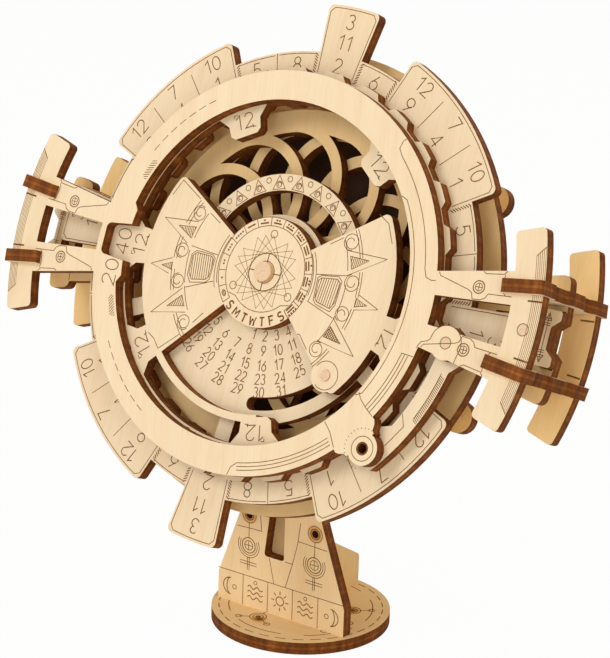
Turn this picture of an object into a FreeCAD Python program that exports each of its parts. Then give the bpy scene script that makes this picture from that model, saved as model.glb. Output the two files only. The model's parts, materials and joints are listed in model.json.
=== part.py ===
import FreeCAD, Part
import math
import os

import Sketcher

from FreeCAD import Placement, Rotation, Vector

# A perpetual desk calendar of laser-cut birch ply: a year wheel and a month wheel turn on one
# dowel between three framed layers that lean back on a small round stand.
# Millimetres. The origin is at the middle of the base's underside, +Z is up, the face looks to -Y.

# Driving sizes, all in millimetres except the angles, which are in degrees

SIZES = {
    # sheet stock, dowels and fits
    "ply": 4.0,
    "layer_gap": 0.35,
    "lap_fit": 0.05,
    "dowel_fit": 0.03,
    "running_fit": 0.05,
    "dowel_radius": 1.67,
    "axle_radius": 3.0,
    "cut_overrun": 3.0,
    # how the wheels stand
    "hub_height": 122.4,
    "hub_forward": 28.84,
    "lean_angle": 21.73,
    "wheel_rise": 0.4,
    "month_rest_angle": -3.85,
    # front frame
    "frame_inner": 52.55,
    "frame_outer": 61.6,
    "arm_outer": 86.4,
    "arm_angle": 10.39,
    "arm_window_angle": 4.0,
    "arm_window_root": 0.3,
    "mid_window_length": 14.4,
    "rear_window_length": 10.4,
    "pad_inner": 50.7,
    "pad_angle": 14.0,
    "notch_outer": 59.8,
    "notch_half": 4.9,
    "notch_mouth_half": 5.8,
    "notch_corner": 1.8,
    "eyelet_stand": 5.05,
    "eyelet_angle": -40.3,
    "eyelet_radius": 4.95,
    "eyelet_bore": 1.5,
    "eyelet_neck_angle": 7.2,
    "cap_angle": 6.9,
    "cap_stand": 7.85,
    "cap_radius": 5.0,
    # bars at the ends of the arms
    "bar_depth": 9.5,
    "bar_angle": 17.86,
    "bar_corner": 1.4,
    "mid_bar_depth": 8.1,
    "mid_bar_angle": 11.7,
    "mid_bar_corner": 2.2,
    "waist_depth": 2.6,
    "waist_half": 3.2,
    "waist_slope": 2.2,
    "bar_dowel_depth": 5.3,
    # clips that lap the three bars of each arm
    "clip_angle": 7.4,
    "clip_seat_depth": 4.7,
    "clip_inner_lap": 0.4,
    "clip_outer_lap": 0.7,
    "clip_finger_lap": 2.8,
    "clip_overhang": 2.6,
    "clip_wave": 1.3,
    "clip_corner": 0.8,
    # arrow plates on the middle bars
    "arrow_inset": 2.5,
    "arrow_depth": 6.0,
    "arrow_half": 8.2,
    "arrow_corner": 0.9,
    # bracket that frames the month window
    "bracket_stand": 4.4,
    "bracket_width": 5.8,
    "bracket_top_angle": 4.6,
    "bracket_end_angle": 43.5,
    "bracket_corner": 1.5,
    "bracket_flare_angle": 13.2,
    "bracket_pad_angle": 31.7,
    # year wheel
    "year_inner": 52.3,
    "year_outer": 61.5,
    "year_tooth_outer": 63.2,
    "year_tooth_base_angle": 8.5,
    "year_tooth_top_angle": 5.5,
    "tab_root_angle": 10.0,
    "tab_angle": 6.8,
    "tab_root": 52.8,
    "tab_shoulder": 48.8,
    "tab_neck": 45.3,
    "tab_tip": 44.0,
    "tab_tip_angle": 5.2,
    "wing_outer": 45.5,
    "wing_hub": 17.0,
    "wing_corner": 2.0,
    "left_wing_start": 147.8,
    "left_wing_end": 225.4,
    "right_wing_start": -43.6,
    "right_wing_end": 33.2,
    "band_inner": 43.2,
    "lobe_radius": 5.0,
    "dowel_reach": 39.45,
    "dowel_angle": -40.7,
    "dowel_proud": 0.5,
    "knob_height": 1.4,
    # month wheel
    "month_inner": 55.0,
    "month_ring_outer": 69.4,
    "month_arc_outer": 77.5,
    "month_tab_outer": 84.4,
    "month_corner": 1.8,
    "month_tooth_inner": 52.4,
    "month_tooth_angle": 7.4,
    "spoke_width": 5.5,
    "date_outer": 45.5,
    "month_band_inner": 26.0,
    "month_band_outer": 31.1,
    "month_hub": 18.5,
    "slot_width": 4.04,
    "slot_angle": -41.5,
    # middle frame, tracery and rear plate
    "mid_front": 18.96,
    "mid_outer": 72.0,
    "mid_inner": 52.8,
    "tracery_outer": 53.0,
    "tracery_band": 46.0,
    "tracery_reach": 30.8,
    "tracery_radius": 17.0,
    "tracery_width": 3.5,
    "tracery_hub": 17.5,
    "spacer_radius": 6.0,
    "rear_front": 34.6,
    "rear_outer": 60.7,
    "post_reach": 65.6,
    "post_angle": 35.0,
    "post_lobe": 4.7,
    # stand
    "base_radius": 29.0,
    "panel_front": 11.8,
    "panel_foot_half": 24.8,
    "panel_foot_rise": 9.2,
    "panel_top_half": 13.0,
    "panel_top_rise": 42.3,
    "panel_slot_left": 6.7,
    "panel_slot_right": 1.1,
    "panel_slot_lean": 2.6,
    "panel_slot_foot": 19.3,
    "panel_slot_top": 40.0,
    "panel_slot_corner": 2.0,
    "panel_hole_side": 12.9,
    "panel_hole_rise": 31.7,
    "panel_hole_radius": 1.2,
    "rib_back": 27.2,
    "rib_back_rise": 10.3,
    "rib_slope_back": 12.5,
    "rib_slope_rise": 18.9,
    "rib_stem_back": 5.5,
    "rib_stem_rise": 23.0,
    "rib_corner": 2.2,
}

# Counts and shares

DIVISIONS = 28
DIVISION_ANGLE = 360.0 / DIVISIONS
TAB_STEP = 5
TABS = 6
MONTH_QUARTERS = 4
TRACERY_ARCS = 14
POSTS = 6
SLOT_TRAVEL_ANGLE = 3 * DIVISION_ANGLE

# Neck of the eyelet: reach as shares of the ring's radius, half angle as shares of the neck's
NECK_SHARES = ((1.0, 1.0), (1.016, 1.0), (1.033, 0.89), (1.047, 0.71), (1.065, 0.65))

doc = FreeCAD.newDocument("PerpetualCalendar")
sheet = doc.addObject("Spreadsheet::Sheet", "Sizes")
for row, (alias, number) in enumerate(SIZES.items(), start=1):
    sheet.set(f"A{row}", alias)
    sheet.set(f"B{row}", str(number))
    sheet.setAlias(f"B{row}", alias)
doc.recompute()


def size(alias):
    """The sheet's value under this alias."""
    return float(sheet.get(alias))


# Values worked out from the sheet

PLY = size("ply")
GAP = size("layer_gap")
OVERRUN = size("cut_overrun")
ORIGIN = Vector(0, 0, 0)
AXIS = Vector(0, 0, 1)
AXLE = Vector(0, size("wheel_rise"), 0)
HUB = Placement(
    Vector(0, -size("hub_forward"), size("hub_height")),
    Rotation(Vector(1, 0, 0), 90 - size("lean_angle")),
)

# Depths of the layers' back faces along the wheel axis, the front frame's face being zero
FRONT_BACK = -PLY
YEAR_BACK = FRONT_BACK - GAP - PLY
MONTH_BACK = YEAR_BACK - GAP - PLY
MID_BACK = -size("mid_front") - PLY
TRACERY_BACK = -size("mid_front")
REAR_BACK = -size("rear_front") - PLY

# Reaches that follow the end of the arms and the front ring's rim
BAR_OUTER = size("arm_outer") + size("bar_depth")
MID_BAR_OUTER = size("arm_outer") + size("mid_bar_depth")
BAR_DOWEL_REACH = size("arm_outer") + size("bar_dowel_depth")
CLIP_SEAT = size("arm_outer") + size("clip_seat_depth")
CLIP_INNER = size("arm_outer") + size("clip_inner_lap")
CLIP_OUTER = BAR_OUTER + size("clip_outer_lap")
CLIP_FINGER = size("arm_outer") - size("clip_finger_lap")
ARROW_INNER = size("arm_outer") + size("arrow_inset")
ARROW_OUTER = ARROW_INNER + size("arrow_depth")
EYELET_REACH = size("frame_outer") + size("eyelet_stand")
CAP_REACH = size("frame_outer") + size("cap_stand")
BRACKET_INNER = size("frame_outer") + size("bracket_stand")
BRACKET_OUTER = BRACKET_INNER + size("bracket_width")


def polar(radius, angle):
    """A point of the wheel plane, the angle in degrees from the right, anticlockwise."""
    turn = math.radians(angle)
    return Vector(radius * math.cos(turn), radius * math.sin(turn), 0)


def line(start, end):
    return Part.LineSegment(start, end)


def circle(centre, radius):
    return Part.Circle(centre, AXIS, radius)


def arc(centre, radius, start_angle, end_angle):
    """An anticlockwise arc between two angles in degrees."""
    return Part.ArcOfCircle(
        circle(centre, radius), math.radians(start_angle), math.radians(end_angle)
    )


def sector(inner, outer, start_angle, end_angle):
    """A piece of a ring between two radii and two angles."""
    return [
        arc(ORIGIN, outer, start_angle, end_angle),
        line(polar(outer, end_angle), polar(inner, end_angle)),
        arc(ORIGIN, inner, start_angle, end_angle),
        line(polar(inner, start_angle), polar(outer, start_angle)),
    ]


def rounded_sector(inner, outer, start_angle, end_angle, corner, inner_corner=0.0):
    """A piece of a ring with rounded outer corners, and inner ones where a radius is given."""
    turn = math.degrees(math.asin(corner / (outer - corner)))
    side = math.sqrt((outer - corner) ** 2 - corner**2)
    edges = [arc(ORIGIN, outer, start_angle + turn, end_angle - turn)]
    end_centre = polar(outer - corner, end_angle - turn)
    start_centre = polar(outer - corner, start_angle + turn)
    edges.append(arc(end_centre, corner, end_angle - turn, end_angle + 90))
    edges.append(arc(start_centre, corner, start_angle - 90, start_angle + turn))
    if inner_corner > 0:
        inner_turn = math.degrees(math.asin(inner_corner / (inner + inner_corner)))
        inner_side = math.sqrt((inner + inner_corner) ** 2 - inner_corner**2)
        end_centre = polar(inner + inner_corner, end_angle - inner_turn)
        start_centre = polar(inner + inner_corner, start_angle + inner_turn)
        edges.append(arc(end_centre, inner_corner, end_angle + 90, end_angle - inner_turn + 180))
        edges.append(
            arc(start_centre, inner_corner, start_angle + inner_turn + 180, start_angle + 270)
        )
    else:
        inner_turn = 0.0
        inner_side = inner
    edges.append(arc(ORIGIN, inner, start_angle + inner_turn, end_angle - inner_turn))
    edges.append(line(polar(side, end_angle), polar(inner_side, end_angle)))
    edges.append(line(polar(inner_side, start_angle), polar(side, start_angle)))
    return edges


def outline(corners):
    """A closed outline through (point, radius) corners, with an arc where the radius isn't zero."""
    edges = []
    ends = []
    count = len(corners)
    for index, (point, radius) in enumerate(corners):
        to_before = (corners[index - 1][0] - point).normalize()
        to_after = (corners[(index + 1) % count][0] - point).normalize()
        if radius <= 0:
            ends.append((point, point))
            continue
        half = to_before.getAngle(to_after) / 2
        entry = point + to_before * (radius / math.tan(half))
        leave = point + to_after * (radius / math.tan(half))
        centre = point + (to_before + to_after).normalize() * (radius / math.sin(half))
        middle = centre + (point - centre).normalize() * radius
        edges.append(Part.Arc(entry, middle, leave))
        ends.append((entry, leave))
    for index in range(count):
        edges.append(line(ends[index][1], ends[(index + 1) % count][0]))
    return edges


def polygon(points):
    return outline([(point, 0.0) for point in points])


class Plate:
    """One flat cut piece: a body drawn in its own XY plane and padded by the sheet thickness."""

    def __init__(self, label, placement):
        self.body = doc.addObject("PartDesign::Body", label)
        self.body.Label = label
        self.body.Placement = placement
        roles = {feature.Role: feature for feature in self.body.Origin.OriginFeatures}
        self.plane = roles["XY_Plane"]
        self.axis = roles["Z_Axis"]

    def sketch(self, edges):
        """A sketch on the body's own plane from edges, or from radii given as sheet aliases."""
        sketch = self.body.newObject("Sketcher::SketchObject", self.body.Name + "_sketch")
        sketch.AttachmentSupport = (self.plane, [""])
        sketch.MapMode = "FlatFace"
        for edge in edges:
            if isinstance(edge, str):
                index = sketch.addGeometry(circle(ORIGIN, self.radius(edge)), False)
                sketch.addConstraint(Sketcher.Constraint("Coincident", index, 3, -1, 1))
                name = sketch.addConstraint(Sketcher.Constraint("Radius", index, self.radius(edge)))
                sketch.setExpression(f"Constraints[{name}]", edge)
            else:
                sketch.addGeometry(edge, False)
        return sketch

    @staticmethod
    def radius(expression):
        """The value of a sum of sheet aliases such as Sizes.frame_outer."""
        return sum(size(term.strip().replace("Sizes.", "")) for term in expression.split("+"))

    def add(self, edges):
        pad = self.body.newObject("PartDesign::Pad", self.body.Name + "_pad")
        pad.Profile = (self.sketch(edges), [""])
        pad.setExpression("Length", "Sizes.ply")
        pad.Refine = False
        doc.recompute()
        return pad

    def cut(self, edges):
        before = self.body.Shape.Volume
        pocket = self.body.newObject("PartDesign::Pocket", self.body.Name + "_pocket")
        pocket.Profile = (self.sketch(edges), [""])
        pocket.Type = "ThroughAll"
        pocket.Reversed = True
        doc.recompute()
        if not self.body.Shape.Volume < before:
            raise RuntimeError(f"{pocket.Label} removes nothing")
        return pocket

    def repeat(self, feature, count, angle=360.0):
        """Turns a feature about the body's axis, count times over an angle."""
        pattern = self.body.newObject("PartDesign::PolarPattern", self.body.Name + "_pattern")
        pattern.Originals = [feature]
        pattern.Axis = (self.axis, [""])
        pattern.Angle = angle
        pattern.Occurrences = count
        pattern.Refine = feature.Refine
        self.body.Tip = pattern
        doc.recompute()
        return pattern


def on_frame(depth, turn=0.0):
    """A placement in the middle of the frames at a depth, turned about their axis by an angle."""
    return HUB.multiply(Placement(AXIS * depth, Rotation(AXIS, turn)))


def on_axle(depth, turn=0.0):
    """The same on the wheels' axle, which sits a little above the middle of the frames."""
    return HUB.multiply(Placement(AXLE + AXIS * depth, Rotation(AXIS, turn)))


def dowel(label, radius, back, length, centre=ORIGIN):
    """A round rod along the wheel axis, its radius an expression on the sheet."""
    rod = doc.addObject("Part::Cylinder", label)
    rod.Label = label
    rod.setExpression("Radius", radius)
    rod.Height = length
    rod.Placement = HUB.multiply(Placement(centre + AXIS * back, Rotation()))
    return rod


PIECES = []


def keep(piece):
    PIECES.append(piece)
    return piece


# Parts that more than one layer shares


def add_arm(plate, root, window_inner):
    """Two arms to the left and right, each with a slot that its bar closes."""
    arm = plate.add(sector(root, size("arm_outer"), -size("arm_angle"), size("arm_angle")))
    plate.repeat(arm, 2)
    opening = sector(
        window_inner,
        size("arm_outer") + OVERRUN,
        -size("arm_window_angle"),
        size("arm_window_angle"),
    )
    window = plate.cut(opening)
    plate.repeat(window, 2)


def cut_clip_slots(plate):
    """Slots from the bar's outer edge inwards, one for each clip."""
    half = PLY / 2 + size("lap_fit")
    for side in (-1, 1):
        turn = Rotation(AXIS, side * size("clip_angle"))
        reach = BAR_OUTER + OVERRUN
        corners = [
            Vector(CLIP_SEAT, -half, 0),
            Vector(reach, -half, 0),
            Vector(reach, half, 0),
            Vector(CLIP_SEAT, half, 0),
        ]
        plate.cut(polygon([turn.multVec(corner) for corner in corners]))


def make_bar(label, back, turn, kind):
    """A curved bar across the end of an arm, slotted for the two clips."""
    bar = Plate(label, on_frame(back, turn))
    outer = MID_BAR_OUTER if kind == "mid_bar" else BAR_OUTER
    half_angle = size(kind + "_angle")
    corner = size(kind + "_corner")
    bar.add(rounded_sector(size("arm_outer"), outer, -half_angle, half_angle, corner, corner))
    if kind == "mid_bar":
        depth = outer - size("waist_depth")
        half = size("waist_half")
        shoulder = half + size("waist_slope")
        upper = [(depth, half), (outer, shoulder), (outer + OVERRUN, shoulder)]
        points = [Vector(out, up, 0) for out, up in upper]
        points += [Vector(out, -up, 0) for out, up in reversed(upper)]
        bar.cut(polygon(points))
    cut_clip_slots(bar)
    if label == "front_bar_right":
        bore = size("dowel_radius") + size("dowel_fit")
        bar.cut([circle(polar(BAR_DOWEL_REACH, 0), bore)])
    keep(bar.body)


# Stand


def make_base():
    base = doc.addObject("Part::Cylinder", "base_disc")
    base.setExpression("Radius", "Sizes.base_radius")
    base.setExpression("Height", "Sizes.ply")
    keep(base)


def behind_rear_plate(name):
    """The space in front of the rear plate's back face, which trims what stands behind it."""
    block = doc.addObject("Part::Box", name)
    block.setExpression("Length", "4 * Sizes.rear_outer")
    block.setExpression("Width", "4 * Sizes.rear_outer")
    block.setExpression("Height", "2 * Sizes.rear_outer")
    corner = Vector(-2 * size("rear_outer"), -2 * size("rear_outer"), REAR_BACK)
    block.Placement = HUB.multiply(Placement(corner, Rotation()))
    return block


def trimmed(label, body):
    cut = doc.addObject("Part::Cut", label)
    cut.Label = label
    cut.Base = body
    cut.Tool = behind_rear_plate(label + "_trim")
    keep(cut)


def make_stand_panel():
    """The upright front panel, widest at its foot, with a slot and two small holes."""
    back = PLY - size("panel_front")
    panel = Plate("stand_panel_blank", Placement(Vector(0, back, PLY), Rotation(Vector(1, 0, 0), 90)))
    foot = size("panel_foot_half")
    top = size("panel_top_half")
    sides = [(foot, 0.0), (foot, size("panel_foot_rise"))]
    sides += [(top, size("panel_top_rise")), (top, size("hub_height"))]
    points = [Vector(across, rise, 0) for across, rise in sides]
    points += [Vector(-across, rise, 0) for across, rise in reversed(sides)]
    panel.add(polygon(points))
    left = -size("panel_slot_left")
    right = size("panel_slot_right")
    lean = size("panel_slot_lean")
    corner = size("panel_slot_corner")
    slot = outline([
        (Vector(left, size("panel_slot_foot"), 0), corner / 2),
        (Vector(right, size("panel_slot_foot"), 0), corner / 2),
        (Vector(right, size("panel_slot_top"), 0), corner),
        (Vector(left + lean, size("panel_slot_top"), 0), corner),
    ])
    for side in (-1, 1):
        centre = Vector(side * size("panel_hole_side"), size("panel_hole_rise"), 0)
        slot.append(circle(centre, size("panel_hole_radius")))
    panel.cut(slot)
    trimmed("stand_panel", panel.body)


def make_rib(label, place):
    """One of three ribs glued side by side behind the panel, drawn as (back, up)."""
    start = place * PLY
    upright = Rotation(Vector(0, 1, 0), Vector(0, 0, 1), Vector(1, 0, 0), "XYZ")
    rib = Plate(label + "_blank", Placement(Vector(start, 0, PLY), upright))
    front = PLY - size("panel_front")
    corner = size("rib_corner")
    corners = [
        (Vector(front, 0, 0), 0.0),
        (Vector(size("rib_back"), 0, 0), 0.0),
        (Vector(size("rib_back"), size("rib_back_rise"), 0), corner),
        (Vector(size("rib_slope_back"), size("rib_slope_rise"), 0), 0.0),
        (Vector(size("rib_stem_back"), size("rib_stem_rise"), 0), 2 * corner),
        (Vector(size("rib_stem_back"), size("hub_height"), 0), 0.0),
        (Vector(front, size("hub_height"), 0), 0.0),
    ]
    rib.add(outline(corners))
    trimmed(label, rib.body)


# Rear plate and posts


def make_rear_plate():
    """The closed plate behind everything, with arms and six lobes for the posts."""
    plate = Plate("rear_plate", on_frame(REAR_BACK))
    plate.add(["Sizes.rear_outer"])
    lobe_centre = polar(size("post_reach"), size("post_angle"))
    plate.repeat(plate.add([circle(lobe_centre, size("post_lobe"))]), POSTS)
    neck = spoke(size("post_angle"), size("rear_outer") - PLY, size("post_reach"), size("post_lobe"))
    plate.repeat(plate.add(neck), POSTS)
    bore = circle(lobe_centre, size("dowel_radius") + size("dowel_fit"))
    plate.repeat(plate.cut([bore]), POSTS)
    root = size("rear_outer") - PLY
    add_arm(plate, root, size("arm_outer") - size("rear_window_length"))
    keep(plate.body)


def make_posts():
    """Six dowels that hold the middle frame off the rear plate."""
    for number in range(POSTS):
        angle = size("post_angle") + number * 360 / POSTS
        centre = polar(size("post_reach"), angle)
        length = MID_BACK + PLY - REAR_BACK
        post = dowel(f"frame_post_{number + 1}", "Sizes.dowel_radius", REAR_BACK, length, centre)
        keep(post)


# Middle frame and tracery


def add_tracery(plate, direction):
    """Half-round ribs that sweep from the outer band to the hub, one way or the other."""
    plate.add(["Sizes.tracery_hub"])
    angle = 90 + 180 / TRACERY_ARCS
    centre = polar(size("tracery_reach"), angle)
    half = size("tracery_width") / 2
    first = (angle - 180, angle) if direction > 0 else (angle, angle + 180)
    outer = size("tracery_radius") + half
    inner = size("tracery_radius") - half
    unit_start = polar(1, first[0])
    unit_end = polar(1, first[1])
    rib = [
        arc(centre, outer, *first),
        line(centre + unit_end * outer, centre + unit_end * inner),
        arc(centre, inner, *first),
        line(centre + unit_start * inner, centre + unit_start * outer),
    ]
    plate.repeat(plate.add(rib), TRACERY_ARCS)


def make_mid_frame():
    """The middle frame: ring, two arms and the rear layer of tracery in one plate."""
    plate = Plate("mid_frame", on_frame(MID_BACK))
    plate.add(["Sizes.mid_outer", "Sizes.tracery_band"])
    add_arm(plate, size("mid_inner") + PLY, size("arm_outer") - size("mid_window_length"))
    bore = circle(polar(size("post_reach"), size("post_angle")), size("dowel_radius") + size("dowel_fit"))
    plate.repeat(plate.cut([bore]), POSTS)
    add_tracery(plate, -1)
    plate.cut([circle(AXLE, size("axle_radius") + size("dowel_fit"))])
    keep(plate.body)


def make_tracery_front():
    plate = Plate("tracery_front", on_frame(TRACERY_BACK))
    plate.add(["Sizes.tracery_outer", "Sizes.tracery_band"])
    add_tracery(plate, 1)
    plate.cut([circle(AXLE, size("axle_radius") + size("dowel_fit"))])
    keep(plate.body)


# Front frame


def make_front_frame():
    """The front ring with its two arms, the notch that shows a year, and the eyelet."""
    plate = Plate("front_frame", on_frame(FRONT_BACK))
    plate.add(["Sizes.frame_outer", "Sizes.frame_inner"])
    middle = (size("frame_inner") + size("frame_outer")) / 2
    add_arm(plate, middle, size("frame_outer") + size("arm_window_root"))
    pad_inner = size("pad_inner")
    pad_angle = size("pad_angle")
    plate.add(rounded_sector_inwards(pad_inner, middle, 180 - pad_angle, 180 + pad_angle))
    mouth = pad_inner - OVERRUN
    notch = [
        (Vector(-mouth, size("notch_mouth_half"), 0), 0.0),
        (Vector(-pad_inner, size("notch_mouth_half"), 0), 0.0),
        (Vector(-size("notch_outer"), size("notch_half"), 0), size("notch_corner")),
        (Vector(-size("notch_outer"), -size("notch_half"), 0), size("notch_corner")),
        (Vector(-pad_inner, -size("notch_mouth_half"), 0), 0.0),
        (Vector(-mouth, -size("notch_mouth_half"), 0), 0.0),
    ]
    plate.cut(outline(notch))
    eyelet = polar(EYELET_REACH, size("eyelet_angle"))
    plate.add([circle(eyelet, size("eyelet_radius"))])
    plate.add(eyelet_neck(middle))
    cap = polar(CAP_REACH, -size("cap_angle"))
    plate.add([circle(cap, size("cap_radius"))])
    cap_bore = circle(cap, size("dowel_radius") + size("dowel_fit"))
    plate.cut([circle(eyelet, size("eyelet_bore")), cap_bore])
    keep(plate.body)


def rounded_sector_inwards(inner, outer, start_angle, end_angle):
    """The pad behind the notch: its inner corners are cut at a slant."""
    slant = (size("frame_inner") - size("pad_inner")) / size("pad_inner")
    cut_angle = math.degrees(slant)
    root = size("frame_inner")
    return [
        arc(ORIGIN, outer, start_angle, end_angle),
        line(polar(outer, end_angle), polar(root, end_angle)),
        line(polar(root, end_angle), polar(inner, end_angle - cut_angle)),
        arc(ORIGIN, inner, start_angle + cut_angle, end_angle - cut_angle),
        line(polar(inner, start_angle + cut_angle), polar(root, start_angle)),
        line(polar(root, start_angle), polar(outer, start_angle)),
    ]


def eyelet_neck(root):
    """The flared neck between the ring and the eyelet's round end."""
    axis_angle = size("eyelet_angle")
    spread = size("eyelet_neck_angle")
    sides = [(root, spread)]
    sides += [(reach * size("frame_outer"), turn * spread) for reach, turn in NECK_SHARES]
    points = [polar(reach, axis_angle - turn) for reach, turn in sides]
    points += [polar(reach, axis_angle + turn) for reach, turn in reversed(sides)]
    return polygon(points)


# Clips, arrow plates and window bracket


def make_clip(label, angle):
    """A wavy plate on edge that laps over the three bars of one arm, drawn as (out, forward)."""
    on_edge = Placement(Vector(0, PLY / 2, 0), Rotation(Vector(1, 0, 0), 90))
    clip = Plate(label, on_frame(0.0, angle).multiply(on_edge))
    fit = size("lap_fit")
    inner = CLIP_INNER
    seat = CLIP_SEAT
    outer = CLIP_OUTER
    hollow = outer - size("clip_wave")
    corner = size("clip_corner")
    front = size("clip_overhang")
    back = REAR_BACK - size("clip_overhang")
    corners = [(Vector(CLIP_FINGER, fit, 0), 0.0)]
    corners.append((Vector(CLIP_FINGER, front, 0), corner))
    corners.append((Vector(outer, front, 0), corner))
    crests = [FRONT_BACK, MID_BACK + PLY, MID_BACK, REAR_BACK + PLY]
    for crest, step in zip(crests, (-1, 1, -1, 1)):
        corners.append((Vector(outer, crest + step * PLY / 2, 0), corner))
        corners.append((Vector(hollow, crest + step * PLY, 0), corner))
        if step > 0:
            corners[-1], corners[-2] = corners[-2], corners[-1]
    corners.append((Vector(outer, back, 0), corner))
    corners.append((Vector(inner, back, 0), corner))
    for layer_back in (REAR_BACK, MID_BACK):
        corners.append((Vector(inner, layer_back - fit, 0), 0.0))
        corners.append((Vector(seat, layer_back - fit, 0), 0.0))
        corners.append((Vector(seat, layer_back + PLY + fit, 0), 0.0))
        corners.append((Vector(inner, layer_back + PLY + fit, 0), 0.0))
    corners.append((Vector(inner, FRONT_BACK - fit, 0), 0.0))
    corners.append((Vector(seat, FRONT_BACK - fit, 0), 0.0))
    corners.append((Vector(seat, fit, 0), 0.0))
    clip.add(outline(corners))
    keep(clip.body)


def make_arrow_plate(label, turn):
    """A small waisted plate on the middle bar."""
    plate = Plate(label, on_frame(TRACERY_BACK, turn))
    inner = ARROW_INNER
    outer = ARROW_OUTER
    waist = outer - size("waist_depth")
    half = size("arrow_half")
    corner = size("arrow_corner")
    waist_half = size("waist_half")
    shoulder = waist_half + size("waist_slope")
    upper = [(inner, half), (outer, half), (outer, shoulder), (waist, waist_half)]
    points = [(Vector(out, up, 0), corner) for out, up in upper]
    points += [(Vector(out, -up, 0), corner) for out, up in reversed(upper)]
    plate.add(outline(points))
    keep(plate.body)


def make_window_bracket():
    """The curved bar under the right arm that frames a month, glued behind the front frame."""
    plate = Plate("window_bracket", on_frame(FRONT_BACK - PLY))
    inner = BRACKET_INNER
    outer = BRACKET_OUTER
    top = -size("bracket_top_angle")
    end = -size("bracket_end_angle")
    arm = -size("arm_angle")
    corner = size("bracket_corner")
    plate.add(rounded_sector(inner, outer, end, top, corner))
    foot_outer = CAP_REACH + size("cap_radius")
    plate.add(rounded_sector(inner, foot_outer, arm, top, corner))
    flare = -size("bracket_flare_angle")
    root = inner + corner
    plate.add(polygon([polar(outer, flare), polar(foot_outer, arm), polar(root, arm), polar(root, flare)]))
    pad = -size("bracket_pad_angle")
    pad_inner = size("year_tooth_outer") + GAP
    slant = 2 * math.degrees(corner / inner)
    plate.add(polygon([
        polar(inner + corner, end),
        polar(inner + corner, pad),
        polar(inner, pad),
        polar(pad_inner, pad - slant),
        polar(pad_inner, end),
    ]))
    bore = size("dowel_radius") + size("dowel_fit")
    plate.cut([circle(polar(CAP_REACH, -size("cap_angle")), bore)])
    plate.cut([circle(polar(EYELET_REACH, size("eyelet_angle")), size("eyelet_bore"))])
    keep(plate.body)


# Year wheel


def wing(side):
    """One wing: a slice of the wheel from under the hub, its outer corners rounded."""
    root = size("wing_hub") / 2
    start = size(side + "_wing_start")
    end = size(side + "_wing_end")
    return rounded_sector(root, size("wing_outer"), start, end, size("wing_corner"))


def make_year_wheel():
    """The toothed ring with its tabs and the two wings, all one plate."""
    plate = Plate("year_wheel", on_axle(YEAR_BACK))
    plate.add(["Sizes.year_outer", "Sizes.year_inner"])
    middle = (size("year_inner") + size("year_outer")) / 2
    base_half = size("year_tooth_base_angle") / 2
    top_half = size("year_tooth_top_angle") / 2
    tooth_angle = DIVISION_ANGLE / 2
    tooth = [
        arc(ORIGIN, size("year_tooth_outer"), tooth_angle - top_half, tooth_angle + top_half),
        line(polar(size("year_tooth_outer"), tooth_angle + top_half),
             polar(size("year_outer"), tooth_angle + base_half)),
        line(polar(size("year_outer"), tooth_angle + base_half), polar(middle, tooth_angle)),
        line(polar(middle, tooth_angle), polar(size("year_outer"), tooth_angle - base_half)),
        line(polar(size("year_outer"), tooth_angle - base_half),
             polar(size("year_tooth_outer"), tooth_angle - top_half)),
    ]
    plate.repeat(plate.add(tooth), DIVISIONS)
    tabs = []
    for number in range(TABS):
        tabs += year_tab(180 - number * TAB_STEP * DIVISION_ANGLE, middle)
    plate.add(tabs)
    plate.add(["Sizes.wing_hub"])
    plate.add(wing("left") + wing("right"))
    lobe = polar(size("dowel_reach"), size("dowel_angle"))
    tab_end = 180 + 8 * DIVISION_ANGLE
    band_start = size("left_wing_end") - DIVISION_ANGLE / 2
    band = sector(size("band_inner"), size("wing_outer"), band_start, tab_end)
    plate.add([circle(lobe, size("lobe_radius"))] + band)
    dowel_bore = circle(lobe, size("dowel_radius") + size("dowel_fit"))
    plate.cut([dowel_bore, circle(ORIGIN, size("axle_radius") + size("running_fit"))])
    keep(plate.body)


def year_tab(angle, root):
    """A tab of the year wheel that points at the hub, narrowing in two steps."""
    flare = size("tab_root_angle")
    side = size("tab_angle")
    tip = size("tab_tip_angle")
    half_points = [
        (root, flare),
        (size("tab_root"), flare),
        (size("tab_shoulder"), side),
        (size("tab_neck"), side),
        (size("tab_tip"), tip),
    ]
    points = [polar(reach, angle + spread) for reach, spread in half_points]
    points += [polar(reach, angle - spread) for reach, spread in reversed(half_points)]
    return polygon(points)


# Month wheel


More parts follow.
